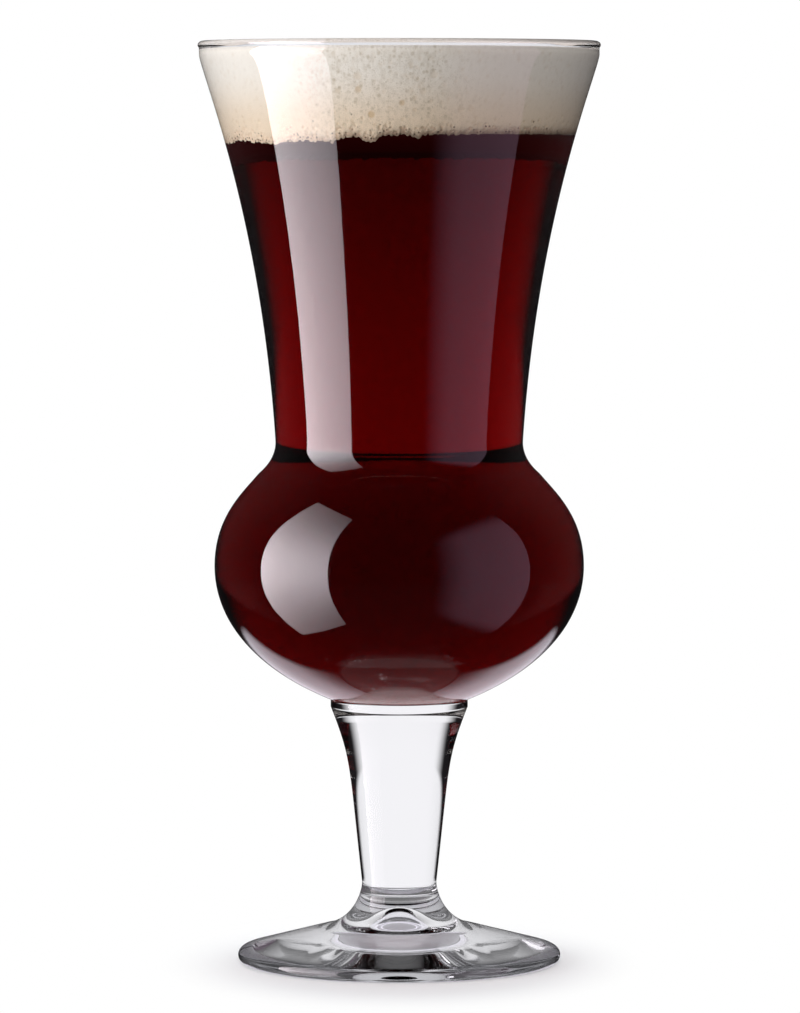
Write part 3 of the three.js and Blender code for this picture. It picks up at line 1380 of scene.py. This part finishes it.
    def build(self, foam: bpy.types.Material, soaked: bpy.types.Material) -> bpy.types.Object:
        """Builds the foam's closed skin and dresses it.

        The rows of the side lie closer together near the lower edge: their share of the height
        mixes an even share with its square. The mark froth is e to the power of minus the height
        over the edge, in froth heights. The top rises from the wall to a crown with the square of
        the distance inwards, clings to the wall with a high power of that distance, and carries
        low waves: the product of two sines of the angle and the distance, times four times the
        product of the distance from the wall and from the middle, which is one half way.

        Args:
            foam: The foam's finish.
            soaked: The finish of its underside.

        Returns:
            The piece.
        """
        noise = np.random.default_rng(self.seed)
        wall = self.drink.hollow(self.drink.skin_gap)
        angle = self.angles()
        edge = self.lower_edge(noise)
        share = np.linspace(0.0, 1.0, self.side_rows)[:, None]
        share = self.near_share * share + (1 - self.near_share) * share**2
        heights = edge + (self.drink.froth_top - edge) * share
        radii = np.interp(heights, wall[:, 1], wall[:, 0])
        around = angle * float(radii.mean())
        depths = np.zeros_like(heights)
        hollow = np.zeros_like(heights)
        self.pit((around, heights), (depths, hollow), self.bubbles(noise, around, edge))
        radii = radii - depths
        froth = np.exp(-(heights - edge) / self.froth_height)
        inward = np.linspace(1.0, 0.0, self.top_rows + 1)[1:-1, None]
        rise = self.drink.foam_crown * (1 - inward**2)
        wave = np.sin(self.waves_round * angle + self.waves_inward * inward)
        sway = self.wave_sway * np.cos(self.wave_sway_turns * angle)
        wave = wave * np.sin(self.waves_across * inward + sway)
        wave = self.wave * wave * (1 - inward) * inward * 4
        cling = self.drink.cling * inward**self.cling_power
        top_heights = self.drink.foam_edge + cling + rise + wave
        low_radii = radii[:1] * np.array(self.under_shares)[:, None]
        low_heights = np.full_like(low_radii, self.drink.beer_level + self.under_rise)
        all_radii = np.concatenate([low_radii, radii, radii[-1:] * inward])
        all_heights = np.concatenate([low_heights, heights, top_heights])
        rows = len(all_radii)
        places = [all_radii * np.cos(angle), all_radii * np.sin(angle), all_heights]
        corners = np.stack(places, axis=-1)
        poles = np.array([low_heights[0, 0], self.drink.foam_edge + self.drink.foam_crown])
        below = len(self.under_shares)
        numbers = np.array([1] * (below + 1) + [0] * (rows - below))
        skin = close_rings(corners.reshape(-1, 3), rows, self.turns, poles, numbers)
        piece = mesh_object("foam_head_froth", skin, [foam, soaked])
        for name, values in (("hollow", hollow), ("froth", froth)):
            whole = np.zeros((rows, self.turns))
            whole[below : below + self.side_rows] = values
            flat = np.concatenate([whole.ravel(), np.zeros(2)]).astype(np.float32)
            attribute = piece.data.attributes.new(name, "FLOAT", "POINT")
            attribute.data.foreach_set("value", flat)
        return seat(piece, "foam_head")


@dataclass(frozen=True)
class Softbox:
    """A flat bright panel far off, upright and square to its facing, as the glass mirrors it.

    Azimuths are degrees round the glass from the camera, to the right; rises are heights over
    the distance along the facing.
    """

    facing: float
    inner: float
    outer: float
    inner_soft: float
    top: float
    bottom: float
    top_soft: float
    hot_rise: float
    hot_spread: float
    inner_colour: tuple
    outer_colour: tuple
    outer_soft: float = 0.008
    least_ahead: float = 1e-4

    def lay(self, bench: NodeBench, direction: Socket, under: Socket) -> Socket:
        """Lays the panel over what else is seen in each direction.

        A direction meets the panel at the ratios of its sideways and upward parts to its part
        along the facing. The panel dims away from its hot rise as one over one plus the square
        of the distance from it, in spreads.

        Args:
            bench: Bench of the world's tree.
            direction: The direction looked in.
            under: The colour seen beside the panel.

        Returns:
            The colour with the panel over it.
        """
        turn = np.radians(self.facing)
        side = -1.0 if self.facing < 0 else 1.0
        ahead = bench.dot(direction, (float(np.sin(turn)), float(-np.cos(turn)), 0.0))
        aside = bench.dot(direction, (side * float(np.cos(turn)), side * float(np.sin(turn)), 0.0))
        front = bench.math("MAXIMUM", ahead, self.least_ahead)
        across = bench.math("DIVIDE", aside, front)
        rise = bench.math("DIVIDE", bench.dot(direction, (0.0, 0.0, 1.0)), front)
        edges = np.radians(np.abs([self.inner, self.outer]) - abs(self.facing))
        inner, outer = (float(edge) for edge in np.tan(edges))
        masks = [
            bench.rising(across, inner, self.inner_soft),
            bench.falling(across, outer, self.outer_soft),
            bench.falling(rise, self.top, self.top_soft),
            bench.rising(rise, self.bottom, self.top_soft),
            bench.math("GREATER_THAN", ahead, 0.0),
        ]
        mask = masks[0]
        for other in masks[1:]:
            mask = bench.math("MULTIPLY", mask, other)
        away = bench.math("DIVIDE", bench.math("SUBTRACT", rise, self.hot_rise), self.hot_spread)
        dim = bench.math("DIVIDE", 1.0, bench.math("MULTIPLY_ADD", away, away, 1.0))
        values = {"Value": across, "From Min": inner, "From Max": outer}
        along = bench.add("ShaderNodeMapRange", values).outputs["Result"]
        colour = bench.blend(along, self.inner_colour, self.outer_colour)
        shown = bench.add("ShaderNodeVectorMath", {0: colour, "Scale": dim}, operation="SCALE")
        return bench.blend(mask, under, shown.outputs[0])


@dataclass(frozen=True)
class Lamp:
    """A rectangular lamp that faces the middle of the glass and isn't itself seen.

    The azimuth is in degrees round the glass from the camera, to the right, the elevation in
    degrees, the sides in metres and the power in watts.
    """

    name: str
    azimuth: float
    elevation: float
    distance: float
    sides: tuple
    power: float
    tone: tuple

    def build(self) -> None:
        """Places the lamp on its ball round the middle of the glass."""
        data = bpy.data.lights.new(self.name, "AREA")
        data.shape = "RECTANGLE"
        data.size, data.size_y = self.sides
        data.energy = self.power
        data.color = self.tone
        lamp = bpy.data.objects.new(self.name, data)
        turn, rise = np.radians(self.azimuth), np.radians(self.elevation)
        away = np.array([np.sin(turn) * np.cos(rise), -np.cos(turn) * np.cos(rise), np.sin(rise)])
        lamp.location = away * self.distance + np.array([0.0, 0.0, CAD_BOX[1][2] / 2])
        lamp.rotation_euler = (np.pi / 2 - rise, 0.0, turn)
        lamp.visible_camera = False
        lamp.visible_glossy = False
        lamp.visible_transmission = False
        bpy.context.scene.collection.objects.link(lamp)


@dataclass
class Surroundings:
    """What the glass mirrors and lets through: softboxes, a bright wall, a lit table, dark sides.

    Angles are in degrees from straight back, round the glass. The strip, the ceiling and the
    level ends are values of the downward or upward part of a direction, and a field that ends in
    soft is the half width of a soft border.
    """

    ambient: float = 0.15
    bright_back: float = 52.0
    level_back: float = 74.0
    level_ends: tuple = (0.03, 0.13)
    back_fade: float = 21.0
    dark_ends: tuple = (97.0, 102.73)
    inner_ends: tuple = (15.0, 104.0)
    inner_light: float = 0.94
    inner_boxes: tuple = (0.2, 0.215, 0.21, 1.0)
    ceiling: float = 0.80
    ceiling_soft: float = 0.06
    strip_sides: tuple = (8.0, 32.0)
    strip_side_soft: float = 0.07
    strip_far: float = 0.21
    strip_far_soft: float = 0.02
    strip_near: float = 0.74
    strip_near_soft: float = 0.13
    strip_colour: tuple = (1.22, 1.17, 1.3, 1.0)
    dim: tuple = (0.013, 0.012, 0.013, 1.0)
    mirror_steps: float = 1.5
    left_box: Softbox = Softbox(
        facing=-70.0,
        inner=-44.9,
        outer=-95.4,
        inner_soft=0.008,
        top=1.60,
        bottom=-1.30,
        top_soft=0.02,
        hot_rise=0.06,
        hot_spread=0.66,
        inner_colour=(7.4, 6.7, 7.2, 1.0),
        outer_colour=(12.2, 11.0, 11.6, 1.0),
    )
    right_box: Softbox = Softbox(
        facing=72.0,
        inner=33.0,
        outer=89.0,
        inner_soft=0.42,
        top=0.98,
        bottom=-1.15,
        top_soft=0.22,
        hot_rise=0.0,
        hot_spread=1.6,
        inner_colour=(0.66, 0.42, 0.60, 1.0),
        outer_colour=(0.84, 0.54, 0.76, 1.0),
    )

    def __post_init__(self) -> None:
        """Makes the empty world, its bench, and the parts of the direction looked in."""
        world = bpy.data.worlds.new("studio")
        world.use_nodes = True
        world.node_tree.nodes.clear()
        bpy.context.scene.world = world
        self.bench = NodeBench(world.node_tree)
        self.direction = self.bench.add("ShaderNodeTexCoord").outputs["Generated"]
        self.up = self.bench.dot(self.direction, (0.0, 0.0, 1.0))
        right = self.bench.dot(self.direction, (1.0, 0.0, 0.0))
        back = self.bench.dot(self.direction, (0.0, 1.0, 0.0))
        self.angle = self.bench.math("ABSOLUTE", self.bench.math("ARCTAN2", right, back))

    def build(self) -> None:
        """Builds the world: plain white for the camera, softboxes and dark sides for the glass.

        A ray that only passes through glass sees what lies behind it. One that is mirrored inside
        the glass on its way sees the softboxes too.
        """
        bench = self.bench
        rays = bench.add("ShaderNodeLightPath").outputs
        boxes = self.left_box.lay(bench, self.direction, self.dim)
        boxes = self.right_box.lay(bench, self.direction, boxes)
        mirrored = bench.blend(self.table_strip(), boxes, self.strip_colour)
        soft_boxes = bench.blend(1.0, boxes, self.inner_boxes, "MULTIPLY")
        inside = bench.blend(self.inner_wall_light(), soft_boxes, WHITE)
        through = bench.blend(self.dark_sides(), WHITE, self.dim)
        turned = bench.mirrored_before(rays, self.mirror_steps)
        through = bench.blend(turned, through, inside)
        base = (self.ambient, self.ambient, self.ambient, 1.0)
        colour = bench.blend(rays["Is Camera Ray"], base, WHITE)
        colour = bench.blend(rays["Is Glossy Ray"], colour, mirrored)
        colour = bench.blend(rays["Is Transmission Ray"], colour, through)
        shine = bench.add("ShaderNodeBackground", {"Color": colour, "Strength": 1.0})
        bench.add("ShaderNodeOutputWorld", {"Surface": shine.outputs[0]})

    def table_strip(self) -> Socket:
        """Masks the lit strip of table behind the glass, from its far edge to the glass's shadow.

        The strip is narrow at its far edge and widens towards the glass.

        Returns:
            The mask.
        """
        bench = self.bench
        down = bench.math("MULTIPLY", self.up, -1.0)
        first, last = radians(*self.strip_sides)
        side = bench.ramp(down, self.strip_far, 2 * self.strip_far, first, last)
        inner = bench.math("SUBTRACT", side, self.strip_side_soft)
        outer = bench.math("ADD", side, self.strip_side_soft)
        mask = bench.ramp(self.angle, inner, outer, 1.0, 0.0)
        far = bench.rising(down, self.strip_far, self.strip_far_soft)
        near = bench.falling(down, self.strip_near, self.strip_near_soft)
        return bench.math("MULTIPLY", bench.math("MULTIPLY", mask, far), near)

    def back_wall(self) -> Socket:
        """Masks the bright wall behind the glass, which dims smoothly to its sides.

        Level with the table it reaches further to the sides than higher up.

        Returns:
            The mask.
        """
        level, high, fade = radians(self.level_back, self.bright_back, self.back_fade)
        end = self.bench.ramp(self.up, *self.level_ends, level, high)
        start = self.bench.math("SUBTRACT", end, fade)
        return self.bench.ramp(self.angle, start, end, 1.0, 0.0)

    def inner_wall_light(self) -> Socket:
        """Masks the wall behind the glass as light sees it that was mirrored inside the glass.

        It dims smoothly from straight back to the sides, and ends under the dark ceiling.

        Returns:
            The mask.
        """
        wall = self.bench.ramp(self.angle, *radians(*self.inner_ends), self.inner_light, 0.0)
        under = self.bench.falling(self.up, self.ceiling, self.ceiling_soft)
        return self.bench.math("MULTIPLY", wall, under)

    def dark_sides(self) -> Socket:
        """Masks the dark zone on each side, between the bright wall behind and the front."""
        front = self.bench.ramp(self.angle, *radians(*self.dark_ends))
        wall = self.bench.math("MAXIMUM", self.back_wall(), front)
        return self.bench.math("SUBTRACT", 1.0, wall)


@dataclass
class Studio:
    """The pale floor, the lamps and the camera, and the surroundings that the glass mirrors."""

    camera_distance: float = 1.28
    camera_height: float = 0.182
    camera_aside: float = 0.17 * MM
    camera_pitch: float = 3.70
    lens: float = 210.0
    sensor: float = 36.0
    clip_ends: tuple = (0.05, 20.0)
    floor_radius: float = 0.30
    floor_turns: int = 96
    floor_paint: tuple = (0.93, 0.93, 0.935, 1.0)
    floor_bounce: tuple = (0.2, 0.2, 0.2, 1.0)
    floor_roughness: float = 0.9
    floor_ends: tuple = (0.046, 0.078)
    floor_narrowing: float = 1.45
    table_shade: float = 0.15
    table_ends: tuple = (0.02, 0.07)
    mirror_steps: float = 0.5
    lamps: tuple = (
        Lamp("key_lamp", -69.0, 8.0, 0.9, (0.45, 0.7), 8.0, (0.96, 1.0, 1.05)),
        Lamp("front_lamp", -8.0, 8.0, 1.1, (0.45, 0.7), 3.4, (1.0, 0.99, 0.95)),
        Lamp("fill_lamp", 62.0, 24.0, 1.1, (0.45, 0.6), 1.7, (0.94, 0.97, 1.06)),
        Lamp("top_lamp", 180.0, 78.0, 2.5, (2.5, 2.5), 62.0, (1.0, 1.0, 1.0)),
    )

    def camera(self) -> None:
        """Sets up the camera, level but for a slight tilt down, with a long lens."""
        data = bpy.data.cameras.new("camera")
        data.lens = self.lens
        data.sensor_width = self.sensor
        data.clip_start, data.clip_end = self.clip_ends
        camera = bpy.data.objects.new("camera", data)
        camera.location = (self.camera_aside, -self.camera_distance, self.camera_height)
        camera.rotation_euler = (np.radians(90.0 - self.camera_pitch), 0.0, 0.0)
        bpy.context.scene.collection.objects.link(camera)
        bpy.context.scene.camera = camera

    def floor_finish(self) -> bpy.types.Material:
        """Builds the floor's finish: pale paint near the glass, and plain white away from it.

        The paint is grey for bounced light. Light that was mirrored inside the glass sees a painted
        glow instead: painted light for the table lit behind the glass, dimmed to painted shade
        before it.

        Returns:
            The material.
        """
        material, bench = new_material("pale_floor")
        place = bench.place()
        reach = bench.length(bench.stretched(place, (self.floor_narrowing, 1.0, 1.0)))
        rays = bench.add("ShaderNodeLightPath").outputs
        through = bench.math("MAXIMUM", rays["Is Glossy Ray"], rays["Is Transmission Ray"])
        seen = bench.math("MAXIMUM", rays["Is Camera Ray"], through)
        far = bench.math("MULTIPLY", bench.ramp(reach, *self.floor_ends), seen)
        tone = bench.blend(rays["Is Diffuse Ray"], self.floor_paint, self.floor_bounce)
        values = {"Base Color": tone, "Roughness": self.floor_roughness}
        paint = bench.add("ShaderNodeBsdfPrincipled", values)
        paint.inputs["Specular IOR Level"].default_value = 0.0
        turned = bench.math("MULTIPLY", seen, bench.mirrored_before(rays, self.mirror_steps))
        along = bench.add("ShaderNodeSeparateXYZ", {0: place}).outputs["Y"]
        # painted light and shade: the glow for mirrored light is full behind the glass and dim
        # before it
        lit = bench.ramp(along, *self.table_ends, self.table_shade, 1.0)
        surface = paint.outputs["BSDF"]
        for mask, strength in ((far, 1.0), (turned, lit)):
            glow = bench.add("ShaderNodeEmission", {"Color": WHITE, "Strength": strength})
            parts = {0: mask, 1: surface, 2: glow.outputs[0]}
            surface = bench.add("ShaderNodeMixShader", parts).outputs[0]
        bench.close(surface)
        return material

    def floor(self) -> None:
        """Makes the round floor, a fan of triangles, which glossy rays don't see."""
        turns = self.floor_turns
        angle = np.arange(turns) * 2 * np.pi / turns
        ring = np.stack([np.cos(angle), np.sin(angle), np.zeros(turns)], axis=1)
        here = np.arange(turns)
        fan = np.stack([np.full(turns, turns), here, (here + 1) % turns], axis=1)
        skin = Skin(
            corners=np.concatenate([ring * self.floor_radius, np.zeros((1, 3))]),
            quads=np.zeros((0, 4), int),
            triangles=fan,
            quad_slots=np.zeros(0, int),
            triangle_slots=np.zeros(turns, int),
        )
        floor = mesh_object("floor", skin, [self.floor_finish()])
        floor.visible_glossy = False

    def build(self) -> None:
        """Sets up the whole studio."""
        self.camera()
        self.floor()
        for lamp in self.lamps:
            lamp.build()
        Surroundings().build()


def scene_settings() -> None:
    """Shows colours as they are written, and lets light turn often enough inside solid glass."""
    scene = bpy.context.scene
    scene.view_settings.view_transform = "Standard"
    scene.cycles.max_bounces = LIGHT_TURNS
    scene.cycles.glossy_bounces = LIGHT_TURNS
    scene.cycles.transmission_bounces = LIGHT_TURNS
    scene.cycles.transparent_max_bounces = LIGHT_TURNS


def main() -> None:
    """Builds every piece in order and reports each one."""
    logging.basicConfig(level=logging.INFO, format="%(name)s %(message)s")
    scene_settings()
    Studio().build()
    glass, wet = ClearGlass().material(), WETTED_GLASS.material()
    pressed, drawn = PRESSED_GLASS.material(), DRAWN_GLASS.material()
    seam = FusedSeam().material()
    bowl = Bowl()
    drink = Drink(bowl)
    made = [
        Foot().build(pressed, seam),
        Stem().build(drawn, seam),
        bowl.build(drink.froth_top, glass, wet, seam),
        drink.build_beer(RubyBeer().material()),
        FoamHead(drink).build(BeerFoam().material(), SoakedFoam().material()),
    ]
    for piece in made:
        LOG.info("%s: %d faces", piece.name, len(piece.data.polygons))


if __name__ == "__main__":
    main()
